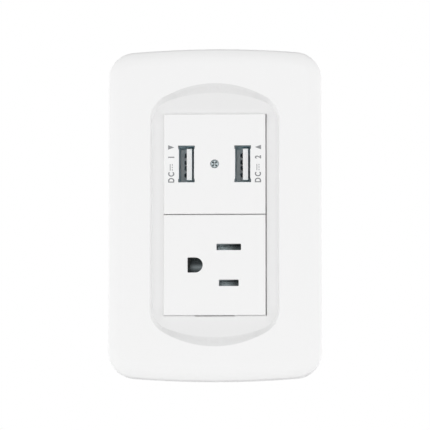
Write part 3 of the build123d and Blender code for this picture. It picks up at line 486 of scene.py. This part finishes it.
class SOCKET_OT_inserts(bpy.types.Operator):
    """Finish the front covers of the two inserts"""

    bl_idname = "socket.inserts"
    bl_label = "Insert covers"

    def execute(self, context):
        scene = context.scene
        covers = ("usb_front_cover", "outlet_front_cover")
        # Polycarbonate from a polished tool: an even white, a little glossier than the plate
        finish = moulded(
            "moulded_white_polycarbonate", scene.socket_colours.insert,
            roughness=0.36, grit=1.0 * MM, relief=0.4 * MICRON,
        )
        dress(finish.material, *covers)
        soften(scene.socket_sizes.edge_break, *covers)
        return {"FINISHED"}


class SOCKET_OT_port_signs(bpy.types.Operator):
    """Print a direct-current sign, a plain number and an arrow beside each USB port"""

    bl_idname = "socket.port_signs"
    bl_label = "Port signs"

    # Places along the line of print, from the middle of the charger
    letter_places = {"D": -5.8 * MM, "C": -3.7 * MM}
    current_place = -1.2 * MM
    number_place = 2.4 * MM
    arrow_place = 5.9 * MM

    def execute(self, context):
        scene = context.scene
        sizes = scene.socket_sizes
        # Pad-printed ink: a thin grey film, more matt than the face that carries it
        ink = moulded(
            "pad_printed_grey_ink", scene.socket_colours.ink,
            roughness=0.6, grit=0.5 * MM, relief=0.5 * MICRON,
        )
        middle = (charger_low.z + charger_high.z) / 2
        # The signs read from the bottom up, so their tops point to the left
        turn = Matrix(((0, -1, 0), (0, 0, -1), (1, 0, 0))).to_4x4()
        for side, name, number in ((-1, "left", "1"), (1, "right", "2")):
            draft = bmesh.new()
            for text, centre in self.letter_places.items():
                self.letter(draft, text, centre, sizes)
            self.current_sign(draft, self.current_place, sizes)
            self.letter(draft, number, self.number_place, sizes)
            self.arrow(draft, self.arrow_place, side, sizes)
            self.thicken(draft, sizes)
            place = Matrix.Translation((side * sizes.sign_offset, charger_low.y, middle))
            draft.transform(place @ turn)
            add_piece(f"port_sign_{name}", draft, ink.material)
        return {"FINISHED"}

    def letter(self, draft, text, centre, sizes):
        """Flat letter or digit of the sign's height, centred at a place along the line of print."""
        curve = bpy.data.curves.new("letter", "FONT")
        curve.body = text
        curve.size = sizes.sign_height
        curve.offset = sizes.sign_weight
        holder = bpy.data.objects.new("letter", curve)
        outline = bpy.data.meshes.new_from_object(holder)
        low = Vector(min(v.co[i] for v in outline.vertices) for i in range(3))
        high = Vector(max(v.co[i] for v in outline.vertices) for i in range(3))
        scale = sizes.sign_height / (high.y - low.y)
        narrow = Matrix.Diagonal((scale * sizes.sign_narrow, scale, scale, 1))
        place = Matrix.Translation((centre, 0, 0))
        outline.transform(place @ narrow @ Matrix.Translation(-(low + high) / 2))
        draft.from_mesh(outline)
        bpy.data.objects.remove(holder)
        bpy.data.curves.remove(curve)
        bpy.data.meshes.remove(outline)

    def bar(self, draft, start, end, height, weight):
        """Flat bar along the line of print."""
        corners = [(start, height), (end, height), (end, height + weight), (start, height + weight)]
        draft.faces.new([draft.verts.new((*corner, 0)) for corner in corners])

    def current_sign(self, draft, centre, sizes):
        """Whole line over three dashes, the usual sign for direct current."""
        length = sizes.line_length
        weight = sizes.line_weight
        start = centre - length / 2
        self.bar(draft, start, start + length, sizes.line_gap / 2, weight)
        dashes = 3
        dash = length / (dashes + 1)
        step = (length - dash) / (dashes - 1)
        for i in range(dashes):
            left = start + i * step
            self.bar(draft, left, left + dash, -sizes.line_gap / 2 - weight, weight)

    def arrow(self, draft, centre, side, sizes):
        """Solid arrow head that points to the port."""
        half_width = sizes.arrow_width / 2
        base = -side * sizes.sign_height / 2
        corners = [(centre - half_width, base), (centre + half_width, base), (centre, -base)]
        draft.faces.new([draft.verts.new((*corner, 0)) for corner in corners])

    def thicken(self, draft, sizes):
        """Turn the flat shapes into thin ink that starts below the face and stands above it."""
        bmesh.ops.translate(draft, verts=draft.verts[:], vec=(0, 0, -sizes.ink_sink))
        lifted = bmesh.ops.extrude_face_region(draft, geom=draft.faces[:], use_keep_orig=True)
        tops = [part for part in lifted["geom"] if isinstance(part, bmesh.types.BMVert)]
        bmesh.ops.translate(draft, verts=tops, vec=(0, 0, sizes.ink_sink + sizes.ink_proud))
        bmesh.ops.recalc_face_normals(draft, faces=draft.faces[:])


class SOCKET_OT_rear_mouldings(bpy.types.Operator):
    """Finish the support frame and the rear housings"""

    bl_idname = "socket.rear_mouldings"
    bl_label = "Rear mouldings"

    def execute(self, context):
        scene = context.scene
        colours = scene.socket_colours
        # ABS from a plain tool: a duller and slightly warmer white than the plate in front of it
        frame_finish = moulded(
            "moulded_frame_abs", colours.support, roughness=0.5, grit=0.9 * MM, relief=2 * MICRON
        )
        dress(frame_finish.material, "support_frame")
        # Grey polycarbonate: a working part's plain matt skin, with a fine grain from the tool
        housings = ("usb_rear_housing", "outlet_rear_housing")
        housing_finish = moulded(
            "moulded_grey_polycarbonate", colours.housing,
            roughness=0.45, grit=0.8 * MM, relief=2 * MICRON,
        )
        dress(housing_finish.material, *housings)
        soften(scene.socket_sizes.edge_break, "support_frame", *housings)
        return {"FINISHED"}


class SOCKET_OT_usb_ports(bpy.types.Operator):
    """Finish the shells, tongues and spring contacts of the two USB ports"""

    bl_idname = "socket.usb_ports"
    bl_label = "USB ports"

    def execute(self, context):
        colours = context.scene.socket_colours
        shells = ("usb_shell_left", "usb_shell_right")
        dress(shell_finish(colours), *shells)
        # Polyamide: a soft white that stays dull beside the plating
        tongues = ("usb_insulator_left", "usb_insulator_right")
        tongue_finish = moulded(
            "moulded_white_polyamide", colours.tongue, roughness=0.45, grit=0.6 * MM, relief=MICRON
        )
        dress(tongue_finish.material, *tongues)
        # Bronze under a flash of nickel, painted dark grey as painted shade deep in the ports, with a
        # small gleam on its bends
        spring_finish = plated(
            "nickel_flashed_bronze", colours.spring, roughness=0.3, blotch=0.8 * MM
        )
        dress(spring_finish.material, "usb_contacts_left", "usb_contacts_right", "board_link_pins")
        soften(context.scene.socket_sizes.sheet_break, *shells, *tongues)
        return {"FINISHED"}


class SOCKET_OT_outlet_contacts(bpy.types.Operator):
    """Finish the folded contacts and the terminal plates"""

    bl_idname = "socket.outlet_contacts"
    bl_label = "Outlet contacts"

    def execute(self, context):
        colours = context.scene.socket_colours
        # Painted highlight at the inner ends of the blades' contacts, fading out along them
        blades = ("neutral_contact", "line_contact")
        blade_finish = contact_finish(
            "tin_plated_blade_brass", colours.tin, colours.dull_tin,
            axis="X", highlight_at=neutral_low.x, near=0.0, far=6.5 * MM,
        )
        dress(blade_finish, *blades)
        # Painted highlight just above the middle of the earth contact, and painted shade over the whole
        # contact, which lies deep in its hole
        shaded_earth_tin = shade(colours.tin, factor=0.3)
        shaded_earth_dull = shade(colours.dull_tin, factor=0.5)
        earth_highlight_line = (outlet_low.z + outlet_high.z) / 2 + 0.25 * MM
        earth_finish = contact_finish(
            "tin_plated_earth_brass", shaded_earth_tin, shaded_earth_dull,
            axis="Z", highlight_at=earth_highlight_line, near=0.1 * MM, far=1.2 * MM,
        )
        dress(earth_finish, "earth_contact")
        # Tin that no plug rubs: grey, with a broad dull gleam
        plain = plated("dull_tin_plated_brass", colours.dull_tin, roughness=0.36, blotch=2.5 * MM)
        dress(plain.material, "usb_terminal_plates")
        soften(context.scene.socket_sizes.sheet_break, *blades, "earth_contact", "usb_terminal_plates")
        return {"FINISHED"}


class SOCKET_OT_screws(bpy.types.Operator):
    """Finish the screws and roll the threads of the two box screws"""

    bl_idname = "socket.screws"
    bl_label = "Screws"

    # Rings in one turn of thread, steepness of its flanks (over one leaves a flat crest) and of its tip
    rings_per_turn = 8
    flank_slope = 1.3
    tip_slope = 0.5

    def execute(self, context):
        scene = context.scene
        sizes = scene.socket_sizes
        zinc = screw_finish(scene.socket_colours)
        plain = (
            "usb_cover_screw", "usb_terminal_screws", "neutral_terminal_screw",
            "line_terminal_screw", "earth_terminal_screw", "outlet_housing_screws",
        )
        dress(zinc, *plain)
        soften(sizes.sheet_break, *plain)
        draft = self.heads()
        head = (screw_high.x - screw_low.x) / 2
        for height in (screw_low.z + head, screw_high.z - head):
            self.thread(draft, height, sizes)
        for face in draft.faces:
            face.smooth = True
        piece = add_piece("box_screws_threaded", draft, zinc)
        piece.data.set_sharp_from_angle(angle=SMOOTH_ANGLE)
        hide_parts("box_screws")
        return {"FINISHED"}

    def heads(self):
        """Heads and plain necks of the box screws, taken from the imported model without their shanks."""
        draft = bmesh.new()
        draft.from_mesh(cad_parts["box_screws"].data)
        bmesh.ops.remove_doubles(draft, verts=draft.verts[:], dist=MICRON)
        # The shanks start at the wall's plane; the slack takes up rounding there
        slack = 0.05 * MM
        shanks = [face for face in draft.faces if min(v.co.y for v in face.verts) > -slack]
        bmesh.ops.delete(draft, geom=shanks, context="FACES")
        return draft

    def neck_end(self, draft, height, sizes):
        """Vertices at the open end of one neck, in order round the screw's axis, with their angles."""
        rim = {vert for edge in draft.edges if edge.is_boundary for vert in edge.verts}
        rim = [vert for vert in rim if abs(vert.co.z - height) < sizes.shank]
        return sorted(((math.atan2(v.co.z - height, v.co.x), v) for v in rim), key=lambda pair: pair[0])

    def thread(self, draft, height, sizes):
        """Rolled thread from the end of the neck to the tip: rings whose radius follows a helix."""
        end = screw_high.y
        pitch = sizes.thread_pitch
        outer = sizes.shank / 2
        root = outer - sizes.thread_depth
        count = round(end / pitch * self.rings_per_turn)
        angles, last = zip(*self.neck_end(draft, height, sizes))
        for i in range(1, count + 1):
            along = end * i / count
            # The thread runs out into the neck, and tapers over its last turn
            limit = min(outer, sizes.neck / 2 + along, root + (end - along) * self.tip_slope)
            ring = []
            for angle in angles:
                phase = (along / pitch - angle / (2 * math.pi)) % 1
                groove = max(0.0, 1 - abs(2 * phase - 1) * self.flank_slope)
                radius = min(limit, outer - sizes.thread_depth * groove)
                spot = (radius * math.cos(angle), along, height + radius * math.sin(angle))
                ring.append(draft.verts.new(spot))
            for j in range(len(angles)):
                k = (j + 1) % len(angles)
                draft.faces.new((last[j], ring[j], ring[k], last[k]))
            last = ring
        draft.faces.new(last[::-1])


class SOCKET_OT_charger_inside(bpy.types.Operator):
    """Finish the boards and components that are sealed inside the charger"""

    bl_idname = "socket.charger_inside"
    bl_label = "Charger inside"

    def execute(self, context):
        colours = context.scene.socket_colours
        # Cured lacquer over copper and glass cloth: deep green with a soft gloss
        boards = moulded(
            "green_solder_mask", colours.mask, roughness=0.35, grit=1.5 * MM, relief=MICRON
        )
        dress(boards.material, "usb_socket_board", "usb_power_board")
        # Filled polyester: an even black with little gloss
        black = moulded(
            "moulded_black_polyester", colours.black, roughness=0.45, grit=0.8 * MM, relief=MICRON
        )
        dress(
            black.material,
            "board_link_header", "transformer_bobbin", "bridge_rectifier", "controller_chip",
        )
        # Pressed and fired powder: dark grey, blotched and matt
        core = moulded(
            "sintered_ferrite", colours.ferrite,
            roughness=0.6, grit=0.5 * MM, relief=2 * MICRON, mottle=0.8,
        )
        dress(core.material, "transformer_core")
        # Wound film: a slick yellow, uneven where its turns lie over each other
        tape = moulded(
            "wound_polyester_tape", colours.tape,
            roughness=0.25, grit=2.0 * MM, relief=MICRON, mottle=0.9,
        )
        dress(tape.material, "transformer_winding")
        # Shrunk film: dark blue, drawn tight and shiny over the can
        sleeve = moulded(
            "shrunk_vinyl_sleeve", colours.sleeve, roughness=0.22, grit=3.0 * MM, relief=MICRON
        )
        dress(sleeve.material, "bulk_capacitors", "output_capacitors")
        # Dipped resin: a shiny blue with the low waves of a coat that ran as it set
        epoxy = moulded(
            "dipped_epoxy", colours.epoxy, roughness=0.25, grit=2.0 * MM, relief=2 * MICRON
        )
        dress(epoxy.material, "safety_capacitor")
        # Paint on fired clay: green with a low gloss
        ceramic = moulded(
            "painted_ceramic", colours.ceramic, roughness=0.4, grit=1.0 * MM, relief=MICRON
        )
        dress(ceramic.material, "fuse_resistor")
        return {"FINISHED"}


class SOCKET_OT_stage(bpy.types.Operator):
    """Set up the pale floor, the soft studio light and the camera"""

    bl_idname = "socket.stage"
    bl_label = "Stage"

    def execute(self, context):
        scene = context.scene
        self.floor(scene)
        self.light(scene)
        self.camera(scene)
        scene.view_settings.view_transform = "Standard"
        return {"FINISHED"}

    def floor(self, scene):
        """Pale floor far below the plate, which stands upright as on its wall."""
        half = scene.socket_stage.floor_width / 2
        level = plate_low.z - scene.socket_stage.floor_drop
        mesh = bpy.data.meshes.new("studio_floor")
        corners = [
            (-half, -half, level), (half, -half, level), (half, half, level), (-half, half, level),
        ]
        mesh.from_pydata(corners, [], [(0, 1, 2, 3)])
        floor = bpy.data.objects.new("studio_floor", mesh)
        scene.collection.objects.link(floor)
        # Matt paper; little light comes from above, so a glow that lights nothing keeps it pale
        paper = moulded(
            "floor_paper", scene.socket_colours.floor, roughness=0.8, grit=4 * MM, relief=10 * MICRON
        )
        glow = add_node(
            paper.tree, "ShaderNodeMapRange",
            {"Value": seen_directly(paper.tree), "To Max": scene.socket_stage.floor_glow},
        )
        fill(paper.tree, paper.shader, {"Emission Color": paper.tint, "Emission Strength": glow})
        mesh.materials.append(paper.material)

    def light(self, scene):
        """Soft light all round, weak from above and below and strong from the sides; seen as white."""
        stage = scene.socket_stage
        world = bpy.data.worlds.new("studio")
        scene.world = world
        world.use_nodes = True
        tree = world.node_tree
        tree.nodes.clear()
        way = add_node(tree, "ShaderNodeTexCoord").outputs["Generated"]
        axes = add_node(tree, "ShaderNodeSeparateXYZ", {"Vector": way}).outputs
        rise = add_node(tree, "ShaderNodeMath", {0: axes["Z"], 1: axes["Z"]}, operation="MULTIPLY")
        reach = add_node(tree, "ShaderNodeMath", {0: axes["X"], 1: axes["X"]}, operation="MULTIPLY")
        level = stage.light_level
        gains = ((rise, -stage.light_fall), (reach, stage.light_side), (axes["X"], -stage.light_left))
        for part, gain in gains:
            level = add_node(
                tree, "ShaderNodeMath", {0: part, 1: gain, 2: level}, operation="MULTIPLY_ADD"
            )
        level = add_node(tree, "ShaderNodeMath", {0: level, 1: 0.0}, operation="MAXIMUM")
        strength = add_node(tree, "ShaderNodeMix", {"Factor": seen_directly(tree), "A": level, "B": 1.0})
        white = (1, 1, 1, 1)
        background = add_node(tree, "ShaderNodeBackground", {"Color": white, "Strength": strength})
        add_node(tree, "ShaderNodeOutputWorld", {"Surface": background})

    def camera(self, scene):
        """Long lens a little right of and below the plate's middle, as the photograph was taken."""
        stage = scene.socket_stage
        data = bpy.data.cameras.new("camera")
        camera = bpy.data.objects.new("camera", data)
        scene.collection.objects.link(camera)
        turn = stage.camera_turn
        tilt = stage.camera_tilt
        back = Vector(
            (math.sin(turn) * math.cos(tilt), -math.cos(turn) * math.cos(tilt), math.sin(tilt))
        )
        target = Vector((stage.view_right, plate_low.y, stage.view_up))
        camera.location = target + back * stage.camera_distance
        camera.rotation_euler = (-back).to_track_quat("-Z", "Y").to_euler()
        data.lens = data.sensor_width * stage.camera_distance / stage.view_width
        scene.camera = camera


operators = (
    SOCKET_OT_cover_plate,
    SOCKET_OT_inserts,
    SOCKET_OT_port_signs,
    SOCKET_OT_rear_mouldings,
    SOCKET_OT_usb_ports,
    SOCKET_OT_outlet_contacts,
    SOCKET_OT_screws,
    SOCKET_OT_charger_inside,
    SOCKET_OT_stage,
)


class SOCKET_PT_panel(bpy.types.Panel):
    """Panel with the pieces, sizes and colours of the wall socket"""

    bl_idname = "SOCKET_PT_panel"
    bl_label = "USB wall socket"
    bl_space_type = "VIEW_3D"
    bl_region_type = "UI"
    bl_category = "Wall Socket"

    def draw(self, context):
        scene = context.scene
        for operator in operators:
            self.layout.operator(operator.bl_idname)
        for group in (scene.socket_sizes, scene.socket_stage, scene.socket_colours):
            for name in group.__annotations__:
                self.layout.prop(group, name)


classes = (SocketColours, SocketSizes, SocketStage, *operators, SOCKET_PT_panel)


def register():
    """Make the classes and their settings known to Blender."""
    for cls in classes:
        bpy.utils.register_class(cls)
    bpy.types.Scene.socket_colours = bpy.props.PointerProperty(type=SocketColours)
    bpy.types.Scene.socket_sizes = bpy.props.PointerProperty(type=SocketSizes)
    bpy.types.Scene.socket_stage = bpy.props.PointerProperty(type=SocketStage)


def unregister():
    """Take the settings and the classes out again."""
    del bpy.types.Scene.socket_stage
    del bpy.types.Scene.socket_sizes
    del bpy.types.Scene.socket_colours
    for cls in reversed(classes):
        bpy.utils.unregister_class(cls)


def main():
    """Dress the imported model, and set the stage."""
    register()
    bpy.ops.socket.cover_plate()
    bpy.ops.socket.inserts()
    bpy.ops.socket.port_signs()
    bpy.ops.socket.rear_mouldings()
    bpy.ops.socket.usb_ports()
    bpy.ops.socket.outlet_contacts()
    bpy.ops.socket.screws()
    bpy.ops.socket.charger_inside()
    bpy.ops.socket.stage()


if __name__ == "__main__":
    main()
